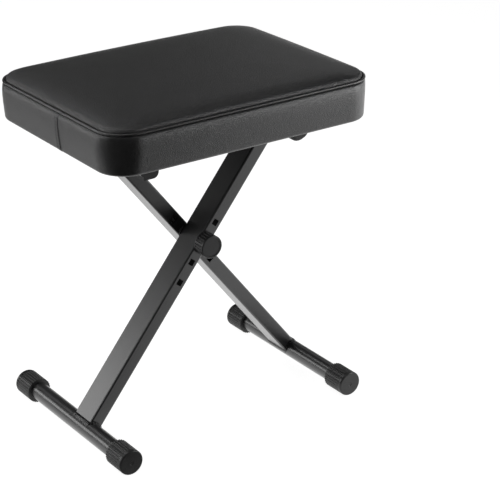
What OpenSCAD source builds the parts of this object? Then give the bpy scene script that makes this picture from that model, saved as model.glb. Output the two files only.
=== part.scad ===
// Folding X-frame bench with a padded seat.
// The origin is on the floor under the middle of the bench. X runs along the seat and +Z is up.
// The clamp knob is on the -Y side, which is called the front here.

/* [Seat] */
// Length of the padded seat along X
seat_l = 400; // [360:5:460]
// Width of the padded seat along Y
seat_w = 300; // [260:5:340]
// Corner radius of the seat, seen from above
seat_r = 39; // [34:1:55]
// Height of the seat's side, from its underside to the piping
side_h = 52; // [42:1:65]
// Rise of the crowned top above the piping
crown_h = 17.5; // [10:0.5:34]
// How flat the crown stays before it falls off to the edge
crown_n = 11; // [3:0.5:14]
// Share of the crown's height that is lost towards the corners
crown_droop = 0.3; // [0:0.02:0.4]
// Radius of the seat's lower edge
edge_r = 4; // [3:0.5:6]
// Thickness of the covering leatherette
skin_t = 1.2; // [0.8:0.1:2]
// Width of the leatherette folded under the board
hem_w = 22; // [16:1:28]
// Thickness of the seat board
board_t = 12; // [10:1:18]
// Diameter of the piping round the seam
welt_d = 3.5; // [3:0.5:6]

/* [Legs] */
// Distance from the clamp bolt down to the foot bar's axis
leg_lower = 292; // [270:1:310]
// Distance from the clamp bolt up to the top bar's axis
leg_upper = 191.5; // [180:0.5:205]
// Distance of each foot bar's axis from the middle of the bench
foot_x = 181.5; // [165:0.5:195]
// Wide side of the rectangular leg tube, along Y
tube_w = 40; // [30:1:44]
// Narrow side of the rectangular leg tube
tube_d = 20; // [18:1:22]
// Wall of every tube
tube_wall = 1.5; // [1.2:0.1:2]
// Corner radius of the rectangular tube
tube_r = 2.5; // [2.1:0.1:4]
// Thickness of the spacer between the two legs
spacer_t = 2; // [1:0.5:4]

/* [Height holes] */
// Number of square holes along each leg
hole_n = 4; // [3:1:4]
// Hole that the bolt is in, counted from the top
hole_used = 2; // [2:1:3]
// Distance from hole to hole
hole_pitch = 31; // [26:0.5:34]
// Side of each square hole
hole_side = 8.4; // [8.3:0.1:9]

/* [Bars] */
// Diameter of the foot bars and top bars
bar_d = 25; // [22:0.5:27]
// Length of each top bar
top_bar_l = 188; // [176:1:196]
// Length of each foot bar over its rubber caps
foot_l = 278; // [240:2:320]
// Distance of the front foot bar's middle forward of the seat's middle
front_shift = 1.5; // [0:0.5:8]
// Distance of the rear foot bar's middle back of the seat's middle
rear_shift = 5.5; // [0:0.5:8]
// Width of the weld bead
weld_t = 2; // [1.5:0.1:3]

/* [Foot caps] */
// Outer diameter of a rubber foot cap
cap_d = 35; // [32:0.5:40]
// Length of a rubber foot cap
cap_l = 36; // [30:1:42]
// Thickness of the cap's closed end
cap_end_t = 4; // [3:0.5:6]
// Number of grip ribs round a cap
cap_ribs = 30; // [22:2:34]
// Radius of each groove between two ribs
groove_r = 1.1; // [0.8:0.1:1.3]
// Rounding of the cap's closed end
cap_round = 2.5; // [1.5:0.1:3.5]
// Diameter of the dimple in the cap's closed end
dimple_d = 6; // [4:0.5:10]
// Depth of the dimple
dimple_t = 0.6; // [0.3:0.1:1.2]

/* [End plugs] */
// Thickness of a top bar plug's head
plug_head_t = 1.8; // [1.2:0.1:3]
// Depth of the plug inside the tube
plug_depth = 12; // [8:1:18]

/* [Clamp] */
// Diameter of the clamp bolt
bolt_d = 8; // [7:0.1:8]
// Diameter of the bolt's domed head
bolt_head_d = 18; // [16:0.5:20]
// Height of the bolt's domed head
bolt_head_h = 4.5; // [3.5:0.1:6]
// Length of the square neck under the head
neck_l = 5; // [3:0.5:7]
// Diameter of the knob
knob_d = 32; // [28:1:38]
// Thickness of the knob
knob_h = 19; // [17:0.5:24]
// Number of grip flutes round the knob
knob_flutes = 24; // [16:2:28]
// Radius of each flute
flute_r = 1.3; // [0.9:0.1:1.4]
// Distance from the knob's back to the start of the flutes
flute_start = 2; // [1:0.5:4]
// Outer diameter of the thrust washer
washer_d = 24; // [20:1:26]
// Thickness of the thrust washer
washer_t = 1.5; // [1:0.1:2.5]
// Outer diameter of the knob's steel nut
nut_d = 13; // [12:0.5:15]
// Depth that the nut is set into the knob
nut_h = 12; // [8:1:14]
// Depth of the dish in the knob's face
dish_t = 0.6; // [0.4:0.1:1.2]
// Width of the rim round the dish
dish_rim = 3; // [2:0.5:5]
// Rounding of the knob's outer edge
knob_round = 1.5; // [1:0.1:2.5]
// Distance from the bolt's tip to the knob's face
tip_gap = 4; // [3:0.5:6]

/* [Seat brackets] */
// Width of each bracket along Y
bracket_w = 26; // [24:1:30]
// Wall of the moulded brackets
bracket_t = 4; // [3.4:0.1:4.6]
// Distance from each bracket to the end of its bar
bar_end = 4; // [2:0.5:8]
// Length of each bracket's screwed wing along X
wing_l = 18; // [15:1:24]
// Height of the turned-up lip of an open hook
lip_h = 1.5; // [1:0.1:1.6]
// Length of the hook's lower plate past the bar's axis
hook_reach = 2; // [0:0.5:6]
// Wall of an open hook beside its bar
hook_wall = 5.4; // [3:0.1:7]
// Outer radius of the hook's bend
hook_bend = 8; // [6:0.5:10]
// Diameter of the wood screws
screw_d = 4; // [3.5:0.1:4.5]
// Length of the wood screws under the head
screw_l = 14; // [12:0.5:14.5]
// Diameter of the screw heads
screw_head_d = 8; // [7:0.5:9]
// Height of the screw heads
screw_head_h = 2.4; // [2:0.1:3]
// Distance between the two screws of a hook
screw_gap = 13; // [11:0.5:14]

/* [Fits] */
// Radial clearance of a bar turning in its bracket
pivot_fit = 0.1; // [0.05:0.01:0.1]
// Clearance above a bar that slides under the seat
slide_fit = 0.3; // [0.2:0.05:0.5]
// Clearance round a bar in its open hook
hook_fit = 2.3; // [1.8:0.1:3]
// Radial clearance of the bolt in round holes
bolt_fit = 0.1; // [0.05:0.01:0.1]
// Clearance between pieces that only lie against each other
lay_fit = 0.05; // [0.02:0.01:0.1]
// Clearance of the padding inside its cover
foam_fit = 0.2; // [0.1:0.05:0.5]

/* [Hidden] */
$fn = 64;
eps = 0.01;
// How far a cutting shape runs past the surface it cuts
over = 1;

// Leg geometry, seen from the front
leg_a = acos(foot_x / leg_lower);
foot_z = cap_d / 2;
pivot_z = foot_z + leg_lower * sin(leg_a);
top_x = leg_upper * cos(leg_a);
top_z = pivot_z + leg_upper * sin(leg_a);
leg_y = (spacer_t + tube_w) / 2;
leg_span = leg_lower + leg_upper;
bar_r = bar_d / 2;
foot_bar_l = foot_l - 2 * cap_end_t;

// Bracket geometry, measured from the bar's axis
ring_r = bar_r + pivot_fit + bracket_t;
seat_z = top_z + ring_r;
bracket_y = top_bar_l / 2 - bracket_w / 2 - bar_end;
plate_end = ring_r + wing_l;
cradle_r = bar_r + hook_fit;
hook_out = cradle_r + hook_wall;

// Seat levels
board_z = seat_z + skin_t;
foam_z = board_z + board_t;
seam_z = seat_z + side_h;
welt_r = welt_d / 2;
welt_out = 0.5;
dome_z = seam_z + welt_r;

// Screw places along X, measured from the bar's axis
screw_x = ring_r + wing_l / 2;
hook_screw_x = (hook_out + plate_end) / 2;

// Clamp stack, from the front leg's face outwards
stack_y = spacer_t / 2 + tube_w;
washer_y = stack_y + lay_fit;
knob_y = washer_y + washer_t + lay_fit;
bolt_end_y = knob_y + knob_h - tip_gap;

// A rectangle with round corners
module round_rect(l, w, r) {
    square([l, w - 2 * r], center = true);
    square([l - 2 * r, w], center = true);
    for (x = [-1, 1], y = [-1, 1])
        translate([x * (l / 2 - r), y * (w / 2 - r)]) circle(r);
}

// A round bar along Y with its middle at [x, shift, z]
module bar_at(x, z, l, r, shift = 0) {
    translate([x, shift, z]) rotate([90, 0, 0]) cylinder(h = l, r = r, center = true);
}

// Moves a leg drawn along +Z from the bolt into its slanted place. side is 1 for the front leg
module leg_place(side) {
    translate([0, -side * leg_y, pivot_z]) rotate([0, side * (90 - leg_a), 0]) children();
}

// The rectangular tube's outline run along the whole leg
module leg_prism(l, w, r) {
    translate([0, 0, -leg_lower]) linear_extrude(leg_span) round_rect(l, w, r);
}

// One leg tube: coped onto both bars, hollow, with square height holes
module leg_tube(side) {
    difference() {
        leg_place(side) difference() {
            leg_prism(tube_d, tube_w, tube_r);
            leg_prism(tube_d - 2 * tube_wall, tube_w - 2 * tube_wall, tube_r - tube_wall);
            for (k = [1:hole_n])
                translate([0, 0, (hole_used - k) * hole_pitch])
                    cube([hole_side, tube_w + over, hole_side], center = true);
        }
        bar_at(-side * foot_x, foot_z, foot_l, bar_r);
        bar_at(side * top_x, top_z, foot_l, bar_r);
    }
}

// The weld beads round both ends of one leg tube
module leg_welds(side) {
    for (place = [[-side * foot_x, foot_z], [side * top_x, top_z]])
        difference() {
            intersection() {
                leg_place(side) leg_prism(tube_d + 2 * weld_t, tube_w + 2 * weld_t, tube_r + weld_t);
                bar_at(place[0], place[1], foot_l, bar_r + weld_t);
                // keeps the half of the ring that faces the leg
                leg_place(side) leg_prism_between(tube_w + 4 * weld_t);
            }
            bar_at(place[0], place[1], foot_l + over, bar_r);
            leg_place(side) leg_prism(tube_d, tube_w, tube_r);
        }
}

// The stretch of a leg between its two bars' axes, wide enough to hold the weld beads
module leg_prism_between(w) {
    translate([-w / 2, -w / 2, -leg_lower]) cube([w, w, leg_span]);
}

// A round tube along Y
module tube_bar(x, z, l, shift = 0) {
    difference() {
        bar_at(x, z, l, bar_r, shift);
        bar_at(x, z, l + over, bar_r - tube_wall, shift);
    }
}

// A ribbed rubber cap, drawn with its closed end at the origin and its mouth along +Z
module foot_cap() {
    difference() {
        rotate_extrude() {
            square([cap_d / 2 - cap_round, cap_l]);
            translate([0, cap_round]) square([cap_d / 2, cap_l - cap_round]);
            translate([cap_d / 2 - cap_round, cap_round]) circle(cap_round);
        }
        translate([0, 0, cap_end_t]) cylinder(h = cap_l, r = bar_r);
        translate([0, 0, -eps]) cylinder(h = dimple_t, r1 = dimple_d / 2, r2 = dimple_d * 0.4);
        for (k = [0:cap_ribs - 1])
            rotate([0, 0, (k + 0.5) * 360 / cap_ribs])
                translate([cap_d / 2 + groove_r * 0.2, 0, 2 * cap_round])
                    cylinder(h = cap_l, r = groove_r, $fn = 16);
    }
}

// The cap of one bar's end. x and shift are the bar's place and end is -1 for the near end
module foot_cap_at(x, shift, end) {
    translate([x, shift + end * foot_l / 2, foot_z]) rotate([end * 90, 0, 0]) rotate([0, 0, 90]) foot_cap();
}

// A plastic plug in a top bar's end
module plug_at(x, end) {
    translate([x, end * top_bar_l / 2, top_z]) rotate([end * 90, 0, 0]) {
        translate([0, 0, -plug_head_t]) cylinder(h = plug_head_t, r = bar_r);
        cylinder(h = plug_depth, r = bar_r - tube_wall);
    }
}

module front_leg() { color([0.09, 0.09, 0.1]) leg_tube(1); }
module rear_leg() { color([0.09, 0.09, 0.1]) leg_tube(-1); }
module front_welds() { color([0.12, 0.12, 0.13]) leg_welds(1); }
module rear_welds() { color([0.12, 0.12, 0.13]) leg_welds(-1); }
module front_foot_bar() { color([0.07, 0.07, 0.08]) tube_bar(-foot_x, foot_z, foot_bar_l, -front_shift); }
module rear_foot_bar() { color([0.07, 0.07, 0.08]) tube_bar(foot_x, foot_z, foot_bar_l, rear_shift); }
module front_top_bar() { color([0.07, 0.07, 0.08]) tube_bar(top_x, top_z, top_bar_l); }
module rear_top_bar() { color([0.07, 0.07, 0.08]) tube_bar(-top_x, top_z, top_bar_l); }
module front_foot_cap_near() { color([0.13, 0.13, 0.13]) foot_cap_at(-foot_x, -front_shift, -1); }
module front_foot_cap_far() { color([0.13, 0.13, 0.13]) foot_cap_at(-foot_x, -front_shift, 1); }
module rear_foot_cap_near() { color([0.13, 0.13, 0.13]) foot_cap_at(foot_x, rear_shift, -1); }
module rear_foot_cap_far() { color([0.13, 0.13, 0.13]) foot_cap_at(foot_x, rear_shift, 1); }
module front_plug_near() { color([0.16, 0.16, 0.16]) plug_at(top_x, -1); }
module front_plug_far() { color([0.16, 0.16, 0.16]) plug_at(top_x, 1); }
module rear_plug_near() { color([0.16, 0.16, 0.16]) plug_at(-top_x, -1); }
module rear_plug_far() { color([0.16, 0.16, 0.16]) plug_at(-top_x, 1); }

// A flat ring round the clamp bolt, from y outwards to the front
module ring_at(y, t, r, hole) {
    translate([0, -y, pivot_z]) rotate([90, 0, 0]) difference() {
        cylinder(h = t, r = r);
        translate([0, 0, -over]) cylinder(h = t + 2 * over, r = hole);
    }
}

// The nylon spacer between the legs
module leg_spacer() {
    color([0.2, 0.2, 0.2])
        ring_at(lay_fit - spacer_t / 2, spacer_t - 2 * lay_fit, washer_d / 2, bolt_d / 2 + bolt_fit);
}

// The carriage bolt: domed head behind the rear leg, square neck in its hole, round shank to the knob
module clamp_bolt() {
    dome_r = (pow(bolt_head_d / 2, 2) + pow(bolt_head_h, 2)) / (2 * bolt_head_h);
    color([0.5, 0.5, 0.52]) translate([0, stack_y, pivot_z]) {
        rotate([-90, 0, 0]) intersection() {
            cylinder(h = bolt_head_h, r = bolt_head_d / 2);
            translate([0, 0, bolt_head_h - dome_r]) sphere(dome_r, $fn = 96);
        }
        rotate([0, leg_a - 90, 0]) translate([0, -neck_l / 2, 0])
            cube([bolt_d, neck_l, bolt_d], center = true);
        rotate([90, 0, 0]) cylinder(h = stack_y + bolt_end_y, r = bolt_d / 2);
    }
}

// The steel washer that the knob bears on
module thrust_washer() {
    color([0.55, 0.55, 0.57]) ring_at(washer_y, washer_t, washer_d / 2, bolt_d / 2 + bolt_fit);
}

// The fluted clamp knob with a shallow dished face
module knob() {
    flute_l = knob_h - flute_start - 2 * knob_round;
    color([0.1, 0.1, 0.1]) translate([0, -knob_y, pivot_z]) rotate([90, 0, 0]) difference() {
        rotate_extrude() {
            square([knob_d / 2, knob_h - knob_round]);
            square([knob_d / 2 - knob_round, knob_h]);
            translate([knob_d / 2 - knob_round, knob_h - knob_round]) circle(knob_round);
        }
        translate([0, 0, knob_h - dish_t]) cylinder(h = dish_t + over, r = knob_d / 2 - dish_rim);
        translate([0, 0, -over]) cylinder(h = knob_h - tip_gap / 2 + over, r = bolt_d / 2 + bolt_fit);
        translate([0, 0, -over]) cylinder(h = nut_h + over, r = nut_d / 2);
        for (k = [0:knob_flutes - 1])
            rotate([0, 0, k * 360 / knob_flutes])
                translate([knob_d / 2 + flute_r * 0.3, 0, flute_start])
                    cylinder(h = flute_l, r = flute_r, $fn = 16);
    }
}

// The steel nut moulded into the knob
module knob_nut() {
    color([0.6, 0.55, 0.4]) ring_at(knob_y, nut_h, nut_d / 2, bolt_d / 2 + bolt_fit);
}

// Carries a seat profile round the outline. The profile lies in the XY plane, with X measured
// outwards from the corner's centre, seat_r at the outline, and Y up from the seat's underside
module round_seat() {
    straight_x = seat_l / 2 - seat_r;
    straight_y = seat_w / 2 - seat_r;
    translate([0, 0, seat_z]) for (side = [0, 180]) rotate([0, 0, side]) {
        translate([straight_x, straight_y, 0]) rotate([90, 0, 0])
            linear_extrude(2 * straight_y) children();
        translate([-straight_x, straight_y, 0]) rotate([90, 0, 90])
            linear_extrude(2 * straight_x) children();
        translate([straight_x, straight_y, 0]) rotate_extrude(angle = 90) children();
        translate([-straight_x, straight_y, 0]) rotate([0, 0, 90]) rotate_extrude(angle = 90) children();
    }
}

// A flat sheet of the seat's outline, drawn in by inset
module seat_sheet(z, t, inset) {
    translate([0, 0, z]) linear_extrude(t)
        round_rect(seat_l - 2 * inset, seat_w - 2 * inset, seat_r - inset);
}

// Every bracket screw's place as [x, y]: one on each wing of a pivot bracket, two on a hook's inner wing
SCREWS = concat(
    [for (wing = [-1, 1], end = [-1, 1]) [top_x + wing * screw_x, end * bracket_y]],
    [for (pair = [-1, 1], end = [-1, 1]) [hook_screw_x - top_x, end * bracket_y + pair * screw_gap / 2]]);

// Pilot holes for all the bracket screws
module screw_holes() {
    for (p = SCREWS)
        translate([p[0], p[1], seat_z - bracket_t - over])
            cylinder(h = screw_l + 2 * over, r = screw_d / 2 + lay_fit);
}

module seat_board() {
    color([0.72, 0.56, 0.36]) difference() {
        seat_sheet(board_z, board_t, edge_r + lay_fit);
        screw_holes();
    }
}

// Outline of the padding and its cover, drawn in by inset, with steps points round each corner
function seat_ring(inset, s, z, steps = 8) = [for (q = [0:3], k = [0:steps])
    let (a = 90 * (q + k / steps), r = seat_r - inset,
        cx = (q == 0 || q == 3 ? 1 : -1) * (seat_l / 2 - seat_r),
        cy = (q < 2 ? 1 : -1) * (seat_w / 2 - seat_r))
    [s * (cx + r * cos(a)), s * (cy + r * sin(a)), z]];

// Height of the crown at the share s of the way from the middle to the outline, over the point p
function crown(s, h, p) = h * (1 - pow(s, crown_n))
    * (1 - crown_droop * (pow(2 * p[0] / seat_l, 2) + pow(2 * p[1] / seat_w, 2)) / 2);

// A closed solid with a crowned top. base_z is its flat underside
module crowned(inset, base_z, z, h) {
    dome_steps = 10;
    levels = [for (k = [0:dome_steps - 1]) 1 - pow(k / dome_steps, 2)];
    rings = concat([seat_ring(inset, 1, base_z)],
        [for (s = levels) [for (p = seat_ring(inset, s, z)) p + [0, 0, crown(s, h, p)]]]);
    n = len(rings[0]);
    m = len(rings);
    points = concat([for (ring = rings, p = ring) p], [[0, 0, z + h]]);
    sides = [for (j = [0:m - 2], i = [0:n - 1])
        let (a = j * n + i, b = j * n + (i + 1) % n) each [[a, a + n, b], [b, a + n, b + n]]];
    lid = [for (i = [0:n - 1]) [(m - 1) * n + i, m * n, (m - 1) * n + (i + 1) % n]];
    polyhedron(points = points, faces = concat([[for (i = [0:n - 1]) i]], sides, lid));
}

module seat_foam() {
    color([0.85, 0.8, 0.6]) difference() {
        crowned(skin_t + foam_fit, foam_z, dome_z, crown_h - skin_t - foam_fit);
        // room for the piping's inner side
        round_seat() translate([seat_r + welt_out - welt_r, side_h]) circle(welt_r + foam_fit);
    }
}

module top_panel() {
    color([0.11, 0.11, 0.12]) difference() {
        crowned(0, dome_z, dome_z + eps, crown_h);
        crowned(skin_t, dome_z - over, dome_z, crown_h - skin_t);
    }
}

// The band round the side, turned under the board
module side_band() {
    band_top = side_h - welt_r;
    color([0.13, 0.13, 0.14]) round_seat() {
        translate([seat_r - skin_t, edge_r]) square([skin_t, band_top - edge_r]);
        translate([seat_r - edge_r, edge_r]) intersection() {
            difference() {
                circle(edge_r);
                circle(edge_r - skin_t);
            }
            translate([0, -edge_r]) square(edge_r);
        }
        translate([seat_r - hem_w, 0]) square([hem_w - edge_r, skin_t]);
    }
}

module piping() {
    color([0.1, 0.1, 0.1]) round_seat() translate([seat_r + welt_out - welt_r, side_h]) circle(welt_r);
}

module dust_cover() {
    color([0.08, 0.08, 0.08]) difference() {
        seat_sheet(seat_z, skin_t, hem_w + lay_fit);
        screw_holes();
    }
}

// Runs a bracket profile along Y. bar_x is the bar's place and end is -1 for the near bracket
module bracket_at(bar_x, end) {
    difference() {
        translate([bar_x, end * bracket_y + bracket_w / 2, top_z]) rotate([90, 0, 0])
            linear_extrude(bracket_w) children();
        screw_holes();
    }
}

// The closed bracket that the front leg's top bar turns in
module pivot_bracket(end) {
    color([0.1, 0.1, 0.1]) bracket_at(top_x, end) difference() {
        union() {
            circle(ring_r);
            translate([-ring_r, 0]) square([2 * ring_r, ring_r]);
            translate([-plate_end, ring_r - bracket_t]) square([2 * plate_end, bracket_t]);
        }
        circle(bar_r + pivot_fit);
    }
}

// The open hook that the rear leg's top bar slides out of
module hook_bracket(end) {
    low_z = -cradle_r - bracket_t;
    roof_z = bar_r + slide_fit;
    color([0.1, 0.1, 0.1]) bracket_at(-top_x, end) {
        // the roof over the bar, and the screwed wing
        translate([-ring_r, roof_z]) square([ring_r + hook_out, ring_r - roof_z]);
        translate([cradle_r, ring_r - bracket_t]) square([plate_end - cradle_r, bracket_t]);
        // the wall and the floor, hollowed round the bar
        difference() {
            union() {
                translate([-hook_reach, low_z]) square([hook_reach + hook_out - hook_bend, -low_z]);
                translate([hook_out - hook_bend, low_z + hook_bend])
                    square([hook_bend, ring_r - low_z - hook_bend]);
                translate([hook_out - hook_bend, low_z + hook_bend]) circle(hook_bend);
            }
            circle(cradle_r);
        }
        translate([-hook_reach, -cradle_r - eps]) square([bracket_t, lip_h]);
    }
}

module pivot_bracket_near() { pivot_bracket(-1); }
module pivot_bracket_far() { pivot_bracket(1); }
module hook_bracket_near() { hook_bracket(-1); }
module hook_bracket_far() { hook_bracket(1); }

// Pan-head screws up through the bracket wings into the board
module bracket_screws() {
    color([0.6, 0.6, 0.62]) for (p = SCREWS)
        translate([p[0], p[1], seat_z - bracket_t - screw_head_h]) {
            cylinder(h = screw_head_h, r1 = screw_head_d / 2 - 0.8, r2 = screw_head_d / 2);
            cylinder(h = screw_head_h + screw_l, r = screw_d / 2);
        }
}

front_leg();
front_foot_bar();
front_top_bar();
front_welds();
front_foot_cap_near();
front_foot_cap_far();
front_plug_near();
front_plug_far();
rear_leg();
rear_foot_bar();
rear_top_bar();
rear_welds();
rear_foot_cap_near();
rear_foot_cap_far();
rear_plug_near();
rear_plug_far();
leg_spacer();
clamp_bolt();
thrust_washer();
knob();
knob_nut();
seat_board();
seat_foam();
top_panel();
side_band();
piping();
dust_cover();
pivot_bracket_near();
pivot_bracket_far();
hook_bracket_near();
hook_bracket_far();
bracket_screws();
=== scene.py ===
import math
import random

import bmesh
import bpy
from mathutils import Euler, Matrix, Vector, noise
from mathutils.bvhtree import BVHTree


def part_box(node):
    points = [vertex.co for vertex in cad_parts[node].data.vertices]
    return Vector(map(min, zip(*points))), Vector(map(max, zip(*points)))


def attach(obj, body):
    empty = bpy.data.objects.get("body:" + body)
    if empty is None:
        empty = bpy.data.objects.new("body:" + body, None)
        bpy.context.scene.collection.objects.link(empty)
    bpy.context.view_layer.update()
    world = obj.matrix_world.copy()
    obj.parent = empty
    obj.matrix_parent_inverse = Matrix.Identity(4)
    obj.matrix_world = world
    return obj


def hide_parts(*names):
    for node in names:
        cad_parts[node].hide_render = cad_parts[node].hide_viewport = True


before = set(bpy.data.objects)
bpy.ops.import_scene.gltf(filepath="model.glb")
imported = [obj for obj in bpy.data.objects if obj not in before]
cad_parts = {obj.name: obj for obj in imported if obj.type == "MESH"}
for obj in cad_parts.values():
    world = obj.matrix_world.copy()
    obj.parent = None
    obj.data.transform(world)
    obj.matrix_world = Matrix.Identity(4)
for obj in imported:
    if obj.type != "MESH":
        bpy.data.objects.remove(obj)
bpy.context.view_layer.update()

print("frame loaded")

# camera: a long lens, standing to the front left and looking down at the seat
cameraLook = {
    "target": (0.06783, -0.05225, 0.22196),
    "azimuth": -35.4,  # degrees, 0 looks along +Y
    "elevation": 23.76,
    "distance": 2.43461,
    "lens": 129.75,
    "sensor": 36,
    "clipEnd": 50,
}


def addCamera(look):
    data = bpy.data.cameras.new("benchCamera")
    data.lens = look["lens"]
    data.sensor_width = look["sensor"]
    data.clip_end = look["clipEnd"]
    camera = bpy.data.objects.new("benchCamera", data)
    bpy.context.collection.objects.link(camera)
    azimuth = math.radians(look["azimuth"])
    elevation = math.radians(look["elevation"])
    level = math.cos(elevation)
    away = Vector((math.sin(azimuth) * level, -math.cos(azimuth) * level, math.sin(elevation)))
    turn = Euler((math.pi / 2 - elevation, 0, azimuth)).to_matrix()
    camera.matrix_world = Matrix.Translation(Vector(look["target"]) + away * look["distance"]) @ turn.to_4x4()
    bpy.context.scene.camera = camera


addCamera(cameraLook)
print("camera placed")


# small helpers for materials; the first argument is whatever holds the node tree
def newMaterial(name, color, roughness, **sockets):
    material = bpy.data.materials.new(name)
    material.use_nodes = True
    shader = material.node_tree.nodes["Principled BSDF"]
    shader.inputs["Base Color"].default_value = (*color, 1)
    shader.inputs["Roughness"].default_value = roughness
    for socket, value in sockets.items():
        shader.inputs[socket.replace("_", " ")].default_value = value
    return material, shader


def addNode(holder, kind, **values):
    node = holder.node_tree.nodes.new(kind)
    for key, value in values.items():
        if key in node.inputs.keys():
            node.inputs[key].default_value = value
        else:
            setattr(node, key, value)
    return node


def wire(holder, output, target):
    holder.node_tree.links.new(output, target)


def objectCoords(material, stretch=(1, 1, 1)):
    coords = addNode(material, "ShaderNodeTexCoord")
    mapping = addNode(material, "ShaderNodeMapping", Scale=stretch)
    wire(material, coords.outputs["Object"], mapping.inputs["Vector"])
    return mapping.outputs["Vector"]


def noiseTexture(material, coords, scale, detail, roughness=0.5):
    texture = addNode(material, "ShaderNodeTexNoise", Scale=scale, Detail=detail, Roughness=roughness)
    wire(material, coords, texture.inputs["Vector"])
    return texture.outputs["Fac"]


def cellTexture(material, coords, scale, feature="F1", randomness=1.0):
    texture = addNode(material, "ShaderNodeTexVoronoi", feature=feature, Scale=scale, Randomness=randomness)
    wire(material, coords, texture.inputs["Vector"])
    return texture.outputs["Distance"]


def spread(holder, value, low, high, fromLow=0.0, fromHigh=1.0, curve="LINEAR"):
    node = addNode(holder, "ShaderNodeMapRange", interpolation_type=curve)
    wire(holder, value, node.inputs["Value"])
    for key, number in (("From Min", fromLow), ("From Max", fromHigh), ("To Min", low), ("To Max", high)):
        node.inputs[key].default_value = number
    return node.outputs["Result"]


def mathNode(holder, operation, first, second):
    node = addNode(holder, "ShaderNodeMath", operation=operation)
    for slotIndex, value in enumerate((first, second)):
        if isinstance(value, (int, float)):
            node.inputs[slotIndex].default_value = value
        else:
            wire(holder, value, node.inputs[slotIndex])
    return node.outputs["Value"]


def blendColors(material, factor, colorA, colorB):
    node = addNode(material, "ShaderNodeMix", data_type="RGBA")
    wire(material, factor, node.inputs["Factor"])
    for socket, color in (("A", colorA), ("B", colorB)):
        [i for i in node.inputs if i.name == socket and i.type == "RGBA"][0].default_value = (*color, 1)
    return [o for o in node.outputs if o.type == "RGBA"][0]


def tintBase(material, shader, factor, color, darker, lighter, lift):
    dark = tuple(c * darker for c in color)
    light = tuple(min(1, c * lighter + lift) for c in color)
    wire(material, blendColors(material, factor, dark, light), shader.inputs["Base Color"])


def varyRoughness(material, shader, factor, roughness, less, more):
    wire(material, spread(material, factor, roughness - less, roughness + more), shader.inputs["Roughness"])


def stackBumps(material, shader, layers, relief=1.0):
    normal = None
    for height, (strength, depth) in layers:  # coarse layers first
        bump = addNode(material, "ShaderNodeBump", Strength=strength * relief, Distance=depth)
        wire(material, height, bump.inputs["Height"])
        if normal is not None:
            wire(material, normal, bump.inputs["Normal"])
        normal = bump.outputs["Normal"]
    wire(material, normal, shader.inputs["Normal"])
    return normal


# leatherette: pebbled grain with finer creases between, and soft patches where the sheen varies
leatherLook = {
    "specular": 0.8,
    "coat": 0.4,
    "coatRoughness": 0.28,
    "creaseScale": 0.55,  # times the grain
    "fineScale": 2.2,
    "patchScale": 28,
    "tint": (0.8, 1.4, 0.002),  # darkest and lightest share of the colour, and a lift
    "roughGrain": (-0.06, 0.09),
    "roughPatches": 0.03,
    "creaseReach": 0.25,
    "creaseBump": (0.5, 0.0003),  # strength, and depth in metres
    "pebbleBump": (0.6, 0.0004),
    "fineBump": (0.2, 0.0002),
}


def makeLeatherette(name, color, roughness, grain, relief):
    look = leatherLook
    material, shader = newMaterial(name, color, roughness, Specular_IOR_Level=look["specular"],
                                   Coat_Weight=look["coat"], Coat_Roughness=look["coatRoughness"])
    coords = objectCoords(material)
    pebbles = cellTexture(material, coords, grain)
    creases = cellTexture(material, coords, grain * look["creaseScale"], feature="DISTANCE_TO_EDGE")
    patches = noiseTexture(material, coords, look["patchScale"], 3)
    fine = noiseTexture(material, coords, grain * look["fineScale"], 3)
    tintBase(material, shader, patches, color, *look["tint"])
    rough = mathNode(material, "ADD", spread(material, pebbles, *look["roughGrain"]),
                     spread(material, patches, roughness - look["roughPatches"], roughness + look["roughPatches"]))
    wire(material, rough, shader.inputs["Roughness"])
    layers = [(spread(material, creases, 0, 1, 0, look["creaseReach"]), look["creaseBump"]),
              (pebbles, look["pebbleBump"]), (fine, look["fineBump"])]
    wire(material, stackBumps(material, shader, layers, relief), shader.inputs["Coat Normal"])
    return material


# powder coat: a satin black with a slight orange peel
powderLook = {
    "specular": 0.5,
    "coat": 1.0,
    "coatRoughness": 0.28,
    "peelScale": 420,
    "speckleScale": 2600,
    "cloudScale": 9,
    "tint": (0.85, 1.3, 0.002),
    "rough": (0.04, 0.05),  # how far it goes under and over the finish's own roughness
    "peelBump": (0.12, 0.00012),
    "speckleBump": (0.12, 0.00007),
}


def makePowderCoat(name, color, roughness):
    look = powderLook
    material, shader = newMaterial(name, color, roughness, Specular_IOR_Level=look["specular"],
                                   Coat_Weight=look["coat"], Coat_Roughness=look["coatRoughness"])
    coords = objectCoords(material)
    peel = noiseTexture(material, coords, look["peelScale"], 2)
    speckle = noiseTexture(material, coords, look["speckleScale"], 2)
    cloud = noiseTexture(material, coords, look["cloudScale"], 3)
    tintBase(material, shader, cloud, color, *look["tint"])
    varyRoughness(material, shader, cloud, roughness, *look["rough"])
    layers = [(peel, look["peelBump"]), (speckle, look["speckleBump"])]
    wire(material, stackBumps(material, shader, layers), shader.inputs["Coat Normal"])
    return material


# painted weld: ripples of the bead and a little spatter
weldLook = {
    "specular": 0.6,
    "rippleScale": 330,
    "rippleScatter": 0.7,
    "spatterScale": 900,
    "tint": (0.7, 1.4, 0),
    "rough": (0.08, 0.1),
    "rippleBump": (0.8, 0.0008),
    "spatterBump": (0.2, 0.0002),
}


def makeWeld(name, color, roughness):
    look = weldLook
    material, shader = newMaterial(name, color, roughness, Specular_IOR_Level=look["specular"])
    coords = objectCoords(material)
    ripples = cellTexture(material, coords, look["rippleScale"], randomness=look["rippleScatter"])
    spatter = noiseTexture(material, coords, look["spatterScale"], 3)
    tintBase(material, shader, spatter, color, *look["tint"])
    varyRoughness(material, shader, ripples, roughness, *look["rough"])
    stackBumps(material, shader, [(ripples, look["rippleBump"]), (spatter, look["spatterBump"])])
    return material


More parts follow.
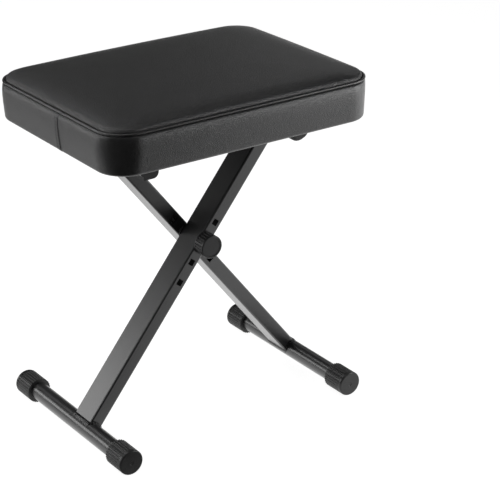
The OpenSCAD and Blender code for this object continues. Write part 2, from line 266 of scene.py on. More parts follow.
# moulded rubber and plastic: an etched surface with dust in it
mouldedLook = {
    "specular": 0.5,
    "etchScale": 1800,
    "dustScale": 60,
    "dustReach": (0.35, 0.75),
    "tint": (1.0, 1.5, 0.004),
    "rough": (0.05, 0.08),
    "etchBump": (0.2, 0.0002),
}


def makeMoulded(name, color, roughness):
    look = mouldedLook
    material, shader = newMaterial(name, color, roughness, Specular_IOR_Level=look["specular"])
    coords = objectCoords(material)
    etch = noiseTexture(material, coords, look["etchScale"], 3)
    dust = noiseTexture(material, coords, look["dustScale"], 4, 0.65)
    tintBase(material, shader, spread(material, dust, 0, 1, *look["dustReach"]), color, *look["tint"])
    varyRoughness(material, shader, dust, roughness, *look["rough"])
    stackBumps(material, shader, [(etch, look["etchBump"])])
    return material


# plated metal: a faint spangle and fine scratches
platedLook = {
    "spangleScale": 380,
    "scratchStretch": (900, 60, 900),
    "tint": (0.82, 1.0, 0),
    "rough": (0.06, 0.1),
    "scratchBump": (0.15, 0.0001),
}


def makeZinc(name, color, roughness):
    look = platedLook
    material, shader = newMaterial(name, color, roughness, Metallic=1.0)
    coords = objectCoords(material)
    spangle = cellTexture(material, coords, look["spangleScale"])
    scratch = noiseTexture(material, objectCoords(material, look["scratchStretch"]), 1.0, 3)
    tintBase(material, shader, spangle, color, *look["tint"])
    varyRoughness(material, shader, spangle, roughness, *look["rough"])
    stackBumps(material, shader, [(scratch, look["scratchBump"])])
    return material


# plywood of the seat board
plyLook = {
    "base": (0.5, 0.34, 0.19),
    "roughness": 0.6,
    "early": (0.62, 0.45, 0.27),
    "late": (0.38, 0.24, 0.12),
    "ringStretch": (1, 7, 1),
    "ringScale": 22,
    "poreStretch": (60, 900, 900),
    "poreBump": (0.3, 0.0003),
}


def makePlywood(name):
    look = plyLook
    material, shader = newMaterial(name, look["base"], look["roughness"])
    rings = noiseTexture(material, objectCoords(material, look["ringStretch"]), look["ringScale"], 6, 0.6)
    pores = noiseTexture(material, objectCoords(material, look["poreStretch"]), 1.0, 2)
    wire(material, blendColors(material, rings, look["early"], look["late"]), shader.inputs["Base Color"])
    stackBumps(material, shader, [(pores, look["poreBump"])])
    return material


# non-woven cloth under the seat: fibres, and the dots it is pressed with
clothLook = {
    "roughness": 0.85,
    "fibreStretch": (1500, 500, 500),
    "dotScale": 520,
    "dotScatter": 0.2,
    "dotReach": (0.1, 0.5),
    "tint": (0.6, 1.8, 0.01),
    "dotBump": (0.5, 0.0003),
    "fibreBump": (0.3, 0.0002),
}


def makeNonWoven(name, color):
    look = clothLook
    material, shader = newMaterial(name, color, look["roughness"])
    fibres = noiseTexture(material, objectCoords(material, look["fibreStretch"]), 1.0, 5, 0.7)
    dots = cellTexture(material, objectCoords(material), look["dotScale"], randomness=look["dotScatter"])
    tintBase(material, shader, fibres, color, *look["tint"])
    pressed = spread(material, dots, 0, 1, *look["dotReach"])
    stackBumps(material, shader, [(pressed, look["dotBump"]), (fibres, look["fibreBump"])])
    return material


finishes = {
    "topLeather": makeLeatherette("topLeather", (0.008, 0.008, 0.0084), 0.42, 950, 1.1),
    "bandLeather": makeLeatherette("bandLeather", (0.008, 0.008, 0.0084), 0.36, 1050, 0.75),
    "pipingLeather": makeLeatherette("pipingLeather", (0.008, 0.008, 0.0084), 0.29, 1300, 0.5),
    "legCoat": makePowderCoat("legCoat", (0.009, 0.009, 0.0096), 0.36),
    "barCoat": makePowderCoat("barCoat", (0.008, 0.008, 0.0085), 0.34),
    "weldCoat": makeWeld("weldCoat", (0.009, 0.009, 0.0095), 0.3),
    "capRubber": makeMoulded("capRubber", (0.021, 0.021, 0.021), 0.33),
    "knobPlastic": makeMoulded("knobPlastic", (0.016, 0.016, 0.0165), 0.42),
    "plugPlastic": makeMoulded("plugPlastic", (0.018, 0.018, 0.018), 0.5),
    "spacerNylon": makeMoulded("spacerNylon", (0.03, 0.03, 0.03), 0.5),
    "bracketNylon": makeMoulded("bracketNylon", (0.016, 0.016, 0.0165), 0.45),
    "thread": makeMoulded("thread", (0.010, 0.010, 0.0105), 0.6),
    "boltZinc": makeZinc("boltZinc", (0.62, 0.62, 0.64), 0.3),
    "nutBrass": makeZinc("nutBrass", (0.72, 0.56, 0.28), 0.32),
    "boardPly": makePlywood("boardPly"),
    "coverCloth": makeNonWoven("coverCloth", (0.016, 0.016, 0.017)),
}
print("materials made")

# CAD nodes that keep their shape and take a finish
nodeFinish = {
    "legCoat": ("front_leg", "rear_leg"),
    "barCoat": ("front_foot_bar", "rear_foot_bar", "front_top_bar", "rear_top_bar"),
    "weldCoat": ("front_welds", "rear_welds"),
    "capRubber": ("front_foot_cap_near", "front_foot_cap_far", "rear_foot_cap_near", "rear_foot_cap_far"),
    "plugPlastic": ("front_plug_near", "front_plug_far", "rear_plug_near", "rear_plug_far"),
    "spacerNylon": ("leg_spacer",),
    "boltZinc": ("clamp_bolt", "thrust_washer", "bracket_screws"),
    "knobPlastic": ("knob",),
    "nutBrass": ("knob_nut",),
    "boardPly": ("seat_board",),
    "bracketNylon": ("pivot_bracket_near", "pivot_bracket_far", "hook_bracket_near", "hook_bracket_far"),
}
for finish, nodes in nodeFinish.items():
    for node in nodes:
        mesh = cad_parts[node].data
        mesh.materials.clear()
        mesh.materials.append(finishes[finish])
print("CAD nodes finished")

# seat measures, read from the frame
bandLow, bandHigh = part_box("side_band")
pipingLow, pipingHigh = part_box("piping")
seat = {
    "length": bandHigh[0] - bandLow[0],
    "width": bandHigh[1] - bandLow[1],
    "under": bandLow[2],
    "seam": (pipingLow[2] + pipingHigh[2]) / 2,
    "pipeRadius": (pipingHigh[2] - pipingLow[2]) / 2,
    "crown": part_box("top_panel")[1][2] - pipingHigh[2],
    "corner": 0.039,
    "cornerSteps": 16,
    "straightStep": 0.005,
    "lift": 0.0004,  # the sewn cover sits this much higher in the middle
    "liftSlope": 0.0095,  # and leans, so it is a little higher at the front than at the back
}


def clamp(value):
    return max(0.0, min(1.0, value))


def startOutline(bm, splits=()):
    bmesh.ops.create_grid(bm, x_segments=1, y_segments=1, size=0.5)
    bmesh.ops.scale(bm, vec=(seat["length"], seat["width"], 1), verts=bm.verts[:])
    bmesh.ops.bevel(bm, geom=bm.verts[:], offset=seat["corner"], offset_type="OFFSET", segments=seat["cornerSteps"],
                    profile=0.5, affect="VERTICES", material=-1)
    for edge in [e for e in bm.edges if e.calc_length() > seat["corner"]]:
        bmesh.ops.subdivide_edges(bm, edges=[edge], cuts=round(edge.calc_length() / seat["straightStep"]) - 1)
    for y in splits:  # extra points on the left end, for a seam across the band
        edge = next(e for e in bm.edges if all(v.co.x < 0.0001 - seat["length"] / 2 for v in e.verts)
                    and (e.verts[0].co.y - y) * (e.verts[1].co.y - y) < 0)
        share = (y - edge.verts[0].co.y) / (edge.verts[1].co.y - edge.verts[0].co.y)
        bmesh.utils.edge_split(edge, edge.verts[0], share)
    return bm.edges[:], {vert: vert.co.copy() for vert in bm.verts}


def outward(point):
    straightX = seat["length"] / 2 - seat["corner"]
    straightY = seat["width"] / 2 - seat["corner"]
    middle = Vector((max(-straightX, min(straightX, point.x)), max(-straightY, min(straightY, point.y)), 0))
    return (Vector((point.x, point.y, 0)) - middle).normalized()


def atInset(point, inset, height):
    moved = point - outward(point) * inset
    return Vector((moved.x, moved.y, height))


def extrudeRing(bm, ring, base, place):
    made = bmesh.ops.extrude_edge_only(bm, edges=ring)["geom"]
    origin = {}
    for vert in (part for part in made if isinstance(part, bmesh.types.BMVert)):
        origin[vert] = next(base[e.other_vert(vert)] for e in vert.link_edges if e.other_vert(vert) in base)
    for vert, point in origin.items():
        vert.co = place(point)
    base.update(origin)
    return [part for part in made if isinstance(part, bmesh.types.BMEdge) and all(v in origin for v in part.verts)]


def sweepProfile(bm, profile, shift, splits=()):
    ring, base = startOutline(bm, splits)
    bmesh.ops.delete(bm, geom=bm.faces[:], context="FACES_ONLY")
    for vert, point in base.items():
        vert.co = atInset(point, *profile[0]) + shift(point, *profile[0])
    first = ring
    for inset, height in profile[1:]:
        ring = extrudeRing(bm, ring, base, lambda p: atInset(p, inset, height) + shift(p, inset, height))
    bmesh.ops.bridge_loops(bm, edges=first + ring)


def liftSeam(bm):
    for vert in bm.verts:
        share = (vert.co.z - seat["under"]) / (seat["seam"] - seat["under"])
        vert.co.z += clamp(share) * (seat["lift"] - seat["liftSlope"] * vert.co.y)


def finishPiece(bm, name, finish, body, lifted=False):
    bmesh.ops.recalc_face_normals(bm, faces=bm.faces[:])
    if lifted:
        liftSeam(bm)
    mesh = bpy.data.meshes.new(name)
    bm.to_mesh(mesh)
    bm.free()
    mesh.materials.append(finishes[finish])
    for polygon in mesh.polygons:
        polygon.use_smooth = True
    piece = bpy.data.objects.new(name, mesh)
    bpy.context.collection.objects.link(piece)
    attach(piece, body)
    return piece


# seat cushion: a blank is swollen as cloth under pressure, and the sewn top is laid over it
cushion = {
    "floor": seat["under"] + 0.0134,
    "floorInset": 0.006,
    "sideInset": 0.0016,
    "sideLow": 0.004,  # the straight side starts this far over the floor
    "sideHigh": 0.005,  # and ends this far under the seam
    "neckInset": 0.0028,
    "neckDrops": (0.0030, 0.0018, 0.0008),  # depths under the seam, where the side narrows to the rim
    "blankDrop": 0.002,
    "rimInset": 0.0031,
    "rimHeight": seat["seam"] + 0.0002,
    "rollWidth": 0.0042,
    "rollTurns": (0.06, 0.16, 0.3, 0.46, 0.64, 0.82),
    "rollRound": 0.72,  # the rest of the roll is a straight slope
    "squareness": 11,  # higher, and the top stays flat nearer to its edge
    "droop": 0.3,  # how much of the crown is lost towards the corners
    "taperReach": 0.17,
    "rings": 38,
    "ringSpacing": 1.6,
    "blankRings": 24,
    "blankSpacing": 1.5,
    "voxel": 0.005,
    "pressure": 4.0,
    "frames": 20,
    "quality": 6,
    "stiffness": 14,
    "bending": 0.8,
    "heldOver": 0.001,  # the blank is held up to this far over the seam
    "heldFade": 0.005,  # and let go over this much more
    "sideCap": 0.002,
    "topCap": 0.010,
    "swellShare": 0.25,  # how much of the simulated swelling shows
    "swellReach": 0.022,  # radius over which it is evened out
    "swellTurns": (0, 1.05, 2.09, 3.14, 4.19, 5.24),
    "swellEdge": 6,
}


def crownTop(point, share):
    edgeLoss = (2 * point.x / seat["length"]) ** 2 + (2 * point.y / seat["width"]) ** 2
    rise = seat["crown"] * (1 - share ** cushion["squareness"]) * (1 - cushion["droop"] * edgeLoss / 2)
    return seat["seam"] + seat["pipeRadius"] + rise


def crownPlace(point, share, inset):
    inner = atInset(point, inset, 0) * share
    outline = share * (1 - inset / cushion["taperReach"])
    return Vector((inner.x, inner.y, crownTop(inner, outline)))


def startCushion(neck):
    bm = bmesh.new()
    ring, base = startOutline(bm)
    for vert, point in base.items():
        vert.co = atInset(point, cushion["floorInset"], cushion["floor"])
    sides = [(cushion["sideInset"], cushion["floor"] + cushion["sideLow"]),
             (cushion["sideInset"], seat["seam"] - cushion["sideHigh"])]
    sides += [(inset, seat["seam"] - drop) for inset, drop in neck]
    sides.append((cushion["rimInset"], cushion["rimHeight"]))
    for inset, height in sides:
        ring = extrudeRing(bm, ring, base, lambda p: atInset(p, inset, height))
    return bm, ring, base


def makeBlank():
    bm, ring, base = startCushion([(cushion["rimInset"], cushion["blankDrop"])])
    for step in range(cushion["blankRings"]):
        share = 1 - (step / cushion["blankRings"]) ** cushion["blankSpacing"]
        ring = extrudeRing(bm, ring, base, lambda p: crownPlace(p, share, cushion["rimInset"]))
    bmesh.ops.edgeloop_fill(bm, edges=ring)
    bmesh.ops.recalc_face_normals(bm, faces=bm.faces[:])
    mesh = bpy.data.meshes.new("padBlank")
    bm.to_mesh(mesh)
    bm.free()
    return mesh


def finalMesh(piece):
    graph = bpy.context.evaluated_depsgraph_get()
    return bpy.data.meshes.new_from_object(piece.evaluated_get(graph), depsgraph=graph)


def treeOfMesh(mesh):
    return BVHTree.FromPolygons([v.co.copy() for v in mesh.vertices], [list(p.vertices) for p in mesh.polygons])


def swellBlank(mesh):
    blank = bpy.data.objects.new("padBlank", mesh)
    bpy.context.collection.objects.link(blank)
    remesh = blank.modifiers.new("voxels", "REMESH")
    remesh.mode = "VOXEL"
    remesh.voxel_size = cushion["voxel"]
    pad = bpy.data.objects.new("padCloth", finalMesh(blank))
    bpy.context.collection.objects.link(pad)
    start = [vert.co.copy() for vert in pad.data.vertices]
    held = pad.vertex_groups.new(name="held")
    for index, point in enumerate(start):
        above = (point.z - seat["seam"] - cushion["heldOver"]) / cushion["heldFade"]
        held.add([index], clamp(1 - above), "REPLACE")
    swell = pad.modifiers.new("swell", "CLOTH")
    swell.settings.quality = cushion["quality"]
    swell.settings.tension_stiffness = cushion["stiffness"]
    swell.settings.compression_stiffness = cushion["stiffness"]
    swell.settings.bending_stiffness = cushion["bending"]
    swell.settings.use_pressure = True
    swell.settings.uniform_pressure_force = cushion["pressure"]
    swell.settings.vertex_group_mass = "held"
    swell.settings.effector_weights.gravity = 0
    swell.collision_settings.use_collision = False
    scene = bpy.context.scene
    for frameNumber in range(1, cushion["frames"] + 1):
        scene.frame_set(frameNumber)
    swollen = finalMesh(pad)
    scene.frame_set(1)
    for vert, point in zip(swollen.vertices, start):
        move = vert.co - point
        cap = cushion["topCap"] if point.z > seat["seam"] else cushion["sideCap"]
        if move.length > cap:
            vert.co = point + move.normalized() * cap
    for piece in (blank, pad):
        bpy.data.objects.remove(piece)
    return treeOfMesh(swollen)


blankMesh = makeBlank()
blankTree = treeOfMesh(blankMesh)
padTree = swellBlank(blankMesh)


def heightOn(tree, x, y):
    hit = tree.ray_cast(Vector((x, y, 1)), Vector((0, 0, -1)))[0]
    return hit.z if hit else seat["seam"]


def swelling(x, y):
    samples = [(x, y)] + [(x + reach * math.cos(turn), y + reach * math.sin(turn))
                          for reach in (cushion["swellReach"] / 2, cushion["swellReach"])
                          for turn in cushion["swellTurns"]]
    return sum(heightOn(padTree, *place) - heightOn(blankTree, *place) for place in samples) / len(samples)


padPeak = swelling(0, 0)
print("pad swollen by", round(padPeak * 1000, 2), "mm in the middle")


def topPlace(point, share):
    place = crownPlace(point, share, cushion["rimInset"] + cushion["rollWidth"])
    extra = (swelling(place.x, place.y) - padPeak) * cushion["swellShare"]
    place.z += extra * (1 - share ** cushion["swellEdge"])
    return place


def rollPlace(point, turn):  # the top rolls over from the groove beside the piping
    inset = cushion["rimInset"] + cushion["rollWidth"] * turn
    rise = cushion["rollRound"] * math.sqrt(1 - (1 - turn) ** 2) + (1 - cushion["rollRound"]) * turn
    return atInset(point, inset, cushion["rimHeight"] + (topPlace(point, 1).z - cushion["rimHeight"]) * rise)


def addSeatCushion():
    insets = (cushion["neckInset"], cushion["rimInset"], cushion["rimInset"])
    bm, ring, base = startCushion(zip(insets, cushion["neckDrops"]))
    for turn in cushion["rollTurns"]:
        ring = extrudeRing(bm, ring, base, lambda p: rollPlace(p, turn))
    for step in range(cushion["rings"]):
        share = 1 - (step / cushion["rings"]) ** cushion["ringSpacing"]
        ring = extrudeRing(bm, ring, base, lambda p: topPlace(p, share))
    bmesh.ops.edgeloop_fill(bm, edges=ring)
    piece = finishPiece(bm, "seatCushion", "topLeather", "seat", lifted=True)
    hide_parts("seat_foam", "top_panel")


addSeatCushion()
print("seat cushion made")

# side band: a strip sewn under the piping, drawn round the board's edge and stapled under it
band = {
    "thickness": 0.0012,
    "bulge": 0.0036,
    "cornerBulge": 0.0007,
    "cornerFade": 8,
    "bulgeShape": 0.56,  # below 1, the fullest place is above the middle
    "lip": ((0.0030, 0.00190), (0.0018, 0.00185), (0.0009, 0.0020), (0.0004, 0.0023),
            (0.0001, 0.0029), (0.0, 0.0040)),  # inset, and depth under the seam
    "lipDepth": 0.0045,  # over this depth the top edge rolls in under the piping
    "wallSteps": 12,
    "edgeRadius": 0.004,
    "edgeSteps": 5,
    "hemRows": (0.0065, 0.0095, 0.0125, 0.0155, 0.0185),
    "hemWidth": 0.0215,
    "backRows": (0.012, 0.0050),
    "backFoot": ((0.0022, 0.0024), (0.0012, 0.006)),  # inset, and height over the underside
    "backTop": ((0.0012, 0.0055), (0.0016, 0.0040), (0.0030, 0.0030)),  # inset, and depth under the seam
    "pleats": 5,  # under each corner
    "pleatDepth": 0.0006,
    "pleatStart": 0.005,
    "pleatFade": 0.006,
    "pleatFold": 0.6,  # below 1, sharper valleys between the folds
    "pleatEnds": 0.3,  # below 1, the folds keep their depth nearly to the ends of the corner
    "lapMiddle": -0.0215,  # the lapped joint on the left end, as Y
    "lapHalf": 0.0036,
    "lapReach": 0.008,
    "lapInset": 0.0045,  # the lap is raised on the outside only, out to this inset
    "lapTopInset": 0.0012,  # or this one, close under the seam
    "lapUnder": 0.004,
    "lapRise": 0.0005,
    "lapEdge": 0.0004,
    "lapRows": (-0.0008, -0.0001, 0.0004, 0.0009, 0.0016),  # from the edge of the lap
    "grooveOff": 0.0009,
    "grooveHalf": 0.0007,
    "grooveDepth": 0.0002,
}


def bandProfile():
    under, seam, radius, thick = seat["under"], seat["seam"], band["edgeRadius"], band["thickness"]
    top = [(inset, seam - depth) for inset, depth in band["lip"]]
    wallTop = top[-1][1]
    wallLength = wallTop - under - radius
    wall = [(0.0, wallTop - wallLength * step / band["wallSteps"]) for step in range(1, band["wallSteps"])]
    angles = [math.pi / 2 * step / band["edgeSteps"] for step in range(band["edgeSteps"] + 1)]
    turn = [(radius * (1 - math.cos(angle)), under + radius * (1 - math.sin(angle))) for angle in angles]
    hem = [(inset, under) for inset in (*band["hemRows"], band["hemWidth"])]
    back = [(inset, under + thick) for inset in (band["hemWidth"], *band["backRows"])]
    back += [(inset, under + height) for inset, height in band["backFoot"]]
    back += [(inset, seam - depth) for inset, depth in band["backTop"]]
    return top + wall + turn + hem + back


def bandBulge(height, straight=1.0):
    rise = (height - seat["under"]) / (seat["seam"] - seat["under"])
    fullest = band["cornerBulge"] + (band["bulge"] - band["cornerBulge"]) * straight
    eased = min(1.0, (seat["seam"] - height) / band["lipDepth"])
    return fullest * eased * math.sin(math.pi * clamp(1 - rise) ** band["bulgeShape"])


def onLap(point, side, reach):
    return point.x < 0 and abs(side.x) > 0.99 and abs(point.y - band["lapMiddle"]) < reach


def bandShift(point, inset, height):
    side = outward(point)
    straight = max(abs(side.x), abs(side.y)) ** band["cornerFade"]
    move = side * bandBulge(height, straight)
    underneath = height < seat["under"] + 0.0001
    if inset > band["pleatStart"] and underneath and straight < 0.98:  # pleats under each corner
        turn = math.atan2(abs(side.y), abs(side.x)) / (math.pi / 2)
        fold = abs(math.sin(turn * math.pi * band["pleats"])) ** band["pleatFold"]
        fold *= min(1.0, (inset - band["pleatStart"]) / band["pleatFade"])
        move.z -= band["pleatDepth"] * fold * math.sin(math.pi * turn) ** band["pleatEnds"]
    outside = inset < band["lapInset"] if height < seat["seam"] - band["lapUnder"] else inset < band["lapTopInset"]
    if onLap(point, side, band["lapReach"]) and outside and not underneath:
        past = abs(point.y - band["lapMiddle"]) - band["lapHalf"]
        cover = 1.0 if past < 0 else max(0.0, 1 - past / band["lapEdge"])
        groove = max(0.0, 1 - abs(past - band["grooveOff"]) / band["grooveHalf"])
        move += side * (band["lapRise"] * cover - band["grooveDepth"] * groove)
    return move


def addSideBand():
    bm = bmesh.new()
    rows = [0.0] + [band["lapHalf"] + row for row in band["lapRows"]]
    splits = sorted({band["lapMiddle"] + side * row for side in (-1, 1) for row in rows})
    sweepProfile(bm, bandProfile(), bandShift, splits)
    piece = finishPiece(bm, "sideBand", "bandLeather", "seat", lifted=True)
    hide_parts("side_band")
    softEdges = piece.modifiers.new("softEdges", "SUBSURF")
    softEdges.levels = softEdges.render_levels = 1


addSideBand()
print("side band made")

# piping: a cord wrapped in leatherette, set in the seam and puckered by the stitches
pipe = {
    "radius": seat["pipeRadius"],
    "inset": 0.0005,
    "sides": 14,
    "pucker": 0.00005,
    "puckerPitch": 0.0042,
    "lapRise": 0.0002,
}


def pipeShift(point, inset, height):
    side = outward(point)
    along = point.x * side.y - point.y * side.x
    middle = atInset(point, pipe["inset"], seat["seam"])
    spoke = atInset(point, inset, height) - middle
    ripple = math.sin(along * 2 * math.pi / pipe["puckerPitch"]) * pipe["pucker"]
    lap = pipe["lapRise"] if onLap(point, side, band["lapHalf"]) else 0
    return spoke.normalized() * (ripple + lap)


def addPiping():
    bm = bmesh.new()
    turns = [2 * math.pi * step / pipe["sides"] for step in range(pipe["sides"])]
    profile = [(pipe["inset"] + pipe["radius"] * math.cos(turn), seat["seam"] + pipe["radius"] * math.sin(turn))
               for turn in turns]
    sweepProfile(bm, profile, pipeShift)
    piece = finishPiece(bm, "seamPiping", "pipingLeather", "seat", lifted=True)
    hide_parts("piping")


addPiping()
print("piping made")

# stitches under the piping, and two upright rows down the lapped joint
stitch = {
    "length": 0.0030,
    "pitch": 0.0042,
    "thick": 0.0006,
    "drop": 0.0021,
    "inset": 0.0006,
    "rowLow": 0.004,  # the upright rows start over the underside
    "rowHigh": 0.006,  # and end under the seam
    "rowInset": 0.0012,  # from the edge of the lap
    "proud": 0.00005,
}


def outlineWalk(pitch):
    straightX = seat["length"] / 2 - seat["corner"]
    straightY = seat["width"] / 2 - seat["corner"]
    corner = seat["corner"]
    arc = math.pi / 2 * corner
    legs = [2 * straightY, arc, 2 * straightX, arc] * 2
    count = round(sum(legs) / pitch)
    for index in range(count):
        walked = sum(legs) * (index + 0.5) / count
        for number, length in enumerate(legs):
            if walked <= length:
                break
            walked -= length
        quarter = number // 2
        start = quarter * math.pi / 2
        reachX, reachY = (straightX, straightY) if quarter % 2 == 0 else (straightY, straightX)
        if number % 2 == 0:  # along a straight side
            point = Vector((reachX + corner, walked - length / 2, 0))
            yield Matrix.Rotation(start, 3, "Z") @ point, start
        else:
            angle = walked / corner
            point = Vector((reachX + corner * math.cos(angle), reachY + corner * math.sin(angle), 0))
            yield Matrix.Rotation(start, 3, "Z") @ point, start + angle


def addStitch(bm, place, turn, upright=False):
    thick, length = stitch["thick"], stitch["length"]
    size = (thick, thick, length, 1) if upright else (thick, length, thick, 1)
    matrix = Matrix.Translation(place) @ Matrix.Rotation(turn, 4, "Z") @ Matrix.Diagonal(size)
    bmesh.ops.create_uvsphere(bm, u_segments=6, v_segments=4, radius=0.5, matrix=matrix)


def addStitches():
    bm = bmesh.new()
    for point, turn in outlineWalk(stitch["pitch"]):
        addStitch(bm, atInset(point, stitch["inset"], seat["seam"] - stitch["drop"]), turn)
    low, high = seat["under"] + stitch["rowLow"], seat["seam"] - stitch["rowHigh"]
    rows = round((high - low) / stitch["pitch"])
    for side in (-1, 1):
        y = band["lapMiddle"] + side * (band["lapHalf"] - stitch["rowInset"])
        for row in range(rows):
            height = low + (high - low) * (row + 0.5) / rows
            out = band["lapRise"] + bandBulge(height) + stitch["proud"]
            addStitch(bm, Vector((-seat["length"] / 2 - out, y, height)), 0, upright=True)
    finishPiece(bm, "seamStitches", "thread", "seat", lifted=True)


addStitches()
print("stitches made")

# underside: a non-woven cover, stapled over the turned-in hem
cover = {
    "inset": 0.0145,
    "rings": 22,
    "ringSpacing": 1.3,
    "thickness": 0.0005,
    "height": 0.0008,  # over the seat's underside, where it lies against the board
    "drop": 0.0012,  # how much lower it lies over the hem
    "hemCover": 0.0075,
    "hemFade": 0.006,
    "waveScale": 22,
    "wave": 0.0002,
}


def coverPlace(point, share):
    inner = atInset(point, cover["inset"], 0) * share
    border = (1 - share) * seat["width"] / 2
    lapOver = clamp(1 - (border - cover["hemCover"]) / cover["hemFade"])  # over the hem, then up against the board
    wave = noise.noise(Vector((inner.x * cover["waveScale"], inner.y * cover["waveScale"], 0))) * cover["wave"]
    return Vector((inner.x, inner.y, seat["under"] + cover["height"] - lapOver * cover["drop"] + wave * (1 - lapOver)))


def addDustCover():
    bm = bmesh.new()
    ring, base = startOutline(bm)
    bmesh.ops.delete(bm, geom=bm.faces[:], context="FACES_ONLY")
    for vert, point in base.items():
        vert.co = coverPlace(point, 1)
    for step in range(1, cover["rings"]):
        share = 1 - (step / cover["rings"]) ** cover["ringSpacing"]
        ring = extrudeRing(bm, ring, base, lambda p: coverPlace(p, share))
    bmesh.ops.edgeloop_fill(bm, edges=ring)
    bmesh.ops.recalc_face_normals(bm, faces=bm.faces[:])
    if sum(face.normal.z for face in bm.faces) > 0:
        bmesh.ops.reverse_faces(bm, faces=bm.faces[:])
    bmesh.ops.solidify(bm, geom=bm.faces[:], thickness=cover["thickness"])
    piece = finishPiece(bm, "dustCover", "coverCloth", "seat")
    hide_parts("dust_cover")


staple = {
    "inset": 0.0185,
    "pitch": 0.036,
    "drop": 0.0008,
    "size": (0.0012, 0.0105, 0.0007),
    "round": 0.00018,
    "wander": 0.0008,  # how far a hand-driven staple strays
    "twist": 0.15,
    "seed": 7,
}


def addStaples():
    bm = bmesh.new()
    dice = random.Random(staple["seed"])
    for point, turn in outlineWalk(staple["pitch"]):
        inset = staple["inset"] + dice.uniform(-staple["wander"], staple["wander"])
        twist = Matrix.Rotation(turn + dice.uniform(-staple["twist"], staple["twist"]), 4, "Z")
        place = Matrix.Translation(atInset(point, inset, seat["under"] - staple["drop"]))
        made = bmesh.ops.create_cube(bm, size=1, matrix=place @ twist @ Matrix.Diagonal((*staple["size"], 1)))
        edges = {edge for vert in made["verts"] for edge in vert.link_edges}
        bmesh.ops.bevel(bm, geom=list(edges), offset=staple["round"], segments=2, profile=0.5, affect="EDGES",
                        material=-1)
    finishPiece(bm, "coverStaples", "boltZinc", "seat")


addDustCover()
addStaples()
print("underside made")

# stage: a white floor that keeps a faint shadow, and in reflections glows as a painted reflection, darker towards the
# camera
stageLook = {
    "size": 6.0,
    "floorColor": 0.8,
    "floorRoughness": 0.9,
    "seenGlow": 0.92,
    "seenColor": 0.4,
    "front": (-0.58, -0.81, 0),  # towards the camera
    "side": (0.815, -0.579, 0),  # to the camera's right
    "glowStart": 1.6,
    "glowForward": -6.0,  # per metre towards the front
    "glowRight": 1.3,  # per metre towards the right
    "glowLeft": 1.6,  # per metre towards the left
    "glowFade": 0.45,  # how far under white it stays, per metre towards the left
    "glowLeast": 0.03,
}


def alongAxis(material, coords, axis):
    node = addNode(material, "ShaderNodeVectorMath", operation="DOT_PRODUCT")
    wire(material, coords, node.inputs[0])
    node.inputs[1].default_value = axis
    return node.outputs["Value"]


# painted reflection: the floor's glow level for reflections only, graded in world space, darker towards the camera's
# side
def paintedReflectionLevel(material, look):
    coords = objectCoords(material)
    forward = mathNode(material, "MULTIPLY", alongAxis(material, coords, look["front"]), look["glowForward"])
    sideways = alongAxis(material, coords, look["side"])
    rightward = mathNode(material, "MAXIMUM", sideways, 0.0)
    leftward = mathNode(material, "MINIMUM", sideways, 0.0)
    level = mathNode(material, "ADD", mathNode(material, "MULTIPLY", rightward, look["glowRight"]),
                     mathNode(material, "MULTIPLY", leftward, -look["glowLeft"]))
    level = mathNode(material, "ADD", mathNode(material, "ADD", level, forward), look["glowStart"])
    ceiling = mathNode(material, "ADD", mathNode(material, "MULTIPLY", leftward, look["glowFade"]), 1.0)
    return mathNode(material, "MINIMUM", mathNode(material, "MAXIMUM", level, look["glowLeast"]), ceiling)


def mixShaders(material, factor, plain, special):
    mix = addNode(material, "ShaderNodeMixShader")
    wire(material, factor, mix.inputs[0])
    wire(material, plain, mix.inputs[1])
    wire(material, special, mix.inputs[2])
    return mix.outputs["Shader"]


def makeStageMaterial(name, look):
    material, shader = newMaterial(name, (look["floorColor"],) * 3, look["floorRoughness"])
    rays = addNode(material, "ShaderNodeLightPath")
    glow = addNode(material, "ShaderNodeEmission", Strength=look["seenGlow"])
    shaded = addNode(material, "ShaderNodeBsdfDiffuse", Color=(*(look["seenColor"],) * 3, 1))
    seen = addNode(material, "ShaderNodeAddShader")
    wire(material, glow.outputs["Emission"], seen.inputs[0])
    wire(material, shaded.outputs["BSDF"], seen.inputs[1])
    # painted reflection: this glow is seen only by glossy and transmission rays
    mirrored = addNode(material, "ShaderNodeEmission")
    wire(material, paintedReflectionLevel(material, look), mirrored.inputs["Strength"])
    gloss = mathNode(material, "MAXIMUM", rays.outputs["Is Glossy Ray"], rays.outputs["Is Transmission Ray"])
    toCamera = mixShaders(material, rays.outputs["Is Camera Ray"], shader.outputs["BSDF"], seen.outputs["Shader"])
    toGloss = mixShaders(material, gloss, toCamera, mirrored.outputs["Emission"])
    wire(material, toGloss, material.node_tree.nodes["Material Output"].inputs["Surface"])
    return material


def addFloor(look):
    bm = bmesh.new()
    bmesh.ops.create_grid(bm, x_segments=1, y_segments=1, size=look["size"])
    mesh = bpy.data.meshes.new("stageFloor")
    bm.to_mesh(mesh)
    bm.free()
    floor = bpy.data.objects.new("stageFloor", mesh)
    bpy.context.collection.objects.link(floor)
    mesh.materials.append(makeStageMaterial("floorWhite", look))


addFloor(stageLook)

# world: white where it is seen, and a dim room for the light and in reflections
worldLook = {"seen": 1.0, "soft": 0.11, "horizon": 0.12, "overhead": 0.05, "fadeHeight": 0.8}


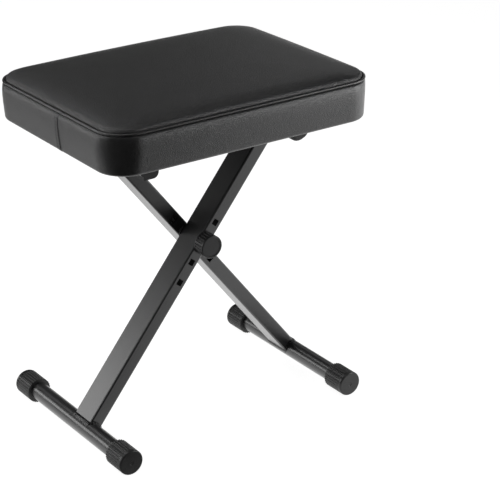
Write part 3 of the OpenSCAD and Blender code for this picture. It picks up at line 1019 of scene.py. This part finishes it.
def addWorld(look):
    world = bpy.data.worlds.new("studioWorld")
    bpy.context.scene.world = world
    world.use_nodes = True
    background = world.node_tree.nodes["Background"]
    background.inputs["Color"].default_value = (1, 1, 1, 1)
    rays = addNode(world, "ShaderNodeLightPath")
    coords = addNode(world, "ShaderNodeTexCoord")
    split = addNode(world, "ShaderNodeSeparateXYZ")
    wire(world, coords.outputs["Generated"], split.inputs["Vector"])
    mirrored = spread(world, split.outputs["Z"], look["horizon"], look["overhead"], 0.0, look["fadeHeight"],
                      "SMOOTHSTEP")
    dim = addNode(world, "ShaderNodeMix")
    dim.inputs["A"].default_value = look["soft"]
    wire(world, rays.outputs["Is Glossy Ray"], dim.inputs["Factor"])
    wire(world, mirrored, dim.inputs["B"])
    seen = addNode(world, "ShaderNodeMix")
    seen.inputs["B"].default_value = look["seen"]
    wire(world, rays.outputs["Is Camera Ray"], seen.inputs["Factor"])
    wire(world, dim.outputs["Result"], seen.inputs["A"])
    wire(world, seen.outputs["Result"], background.inputs["Strength"])


addWorld(worldLook)

lamps = [
    {"name": "lowLeftSoftbox", "place": (-1.35, 1.0, 0.50), "aim": (-0.1, 0, 0.45), "size": (1.6, 0.42), "power": 7},
    {"name": "highLeftSoftbox", "place": (-0.72, 1.02, 1.65), "aim": (0, 0, 0.3), "size": (1.2, 0.5), "power": 6},
    {"name": "leftStrip", "place": (-1.75, 0.05, 1.22), "aim": (0, 0, 0.2), "size": (0.5, 0.9), "power": 3},
    {"name": "rightSoftbox", "place": (0.85, -0.66, 0.52), "aim": (0.1, -0.1, 0.42), "size": (0.5, 0.45), "power": 4.2},
    {"name": "rearSoftbox", "place": (1.0, 0.75, 0.9), "aim": (0.1, 0, 0.45), "size": (0.7, 0.5), "power": 0.4},
    {"name": "topSoftbox", "place": (-0.45, -0.35, 2.3), "aim": (0, 0, 0.3), "size": (0.9, 0.9), "power": 7},
]


def addLamp(look):
    data = bpy.data.lights.new(look["name"], "AREA")
    data.shape = "RECTANGLE"
    data.size, data.size_y = look["size"]
    data.energy = look["power"]
    lamp = bpy.data.objects.new(look["name"], data)
    bpy.context.collection.objects.link(lamp)
    lamp.location = look["place"]
    lamp.rotation_euler = (Vector(look["aim"]) - Vector(look["place"])).to_track_quat("-Z", "Y").to_euler()


for look in lamps:
    addLamp(look)
bpy.context.scene.view_settings.view_transform = "Standard"
print("stage and lamps placed")
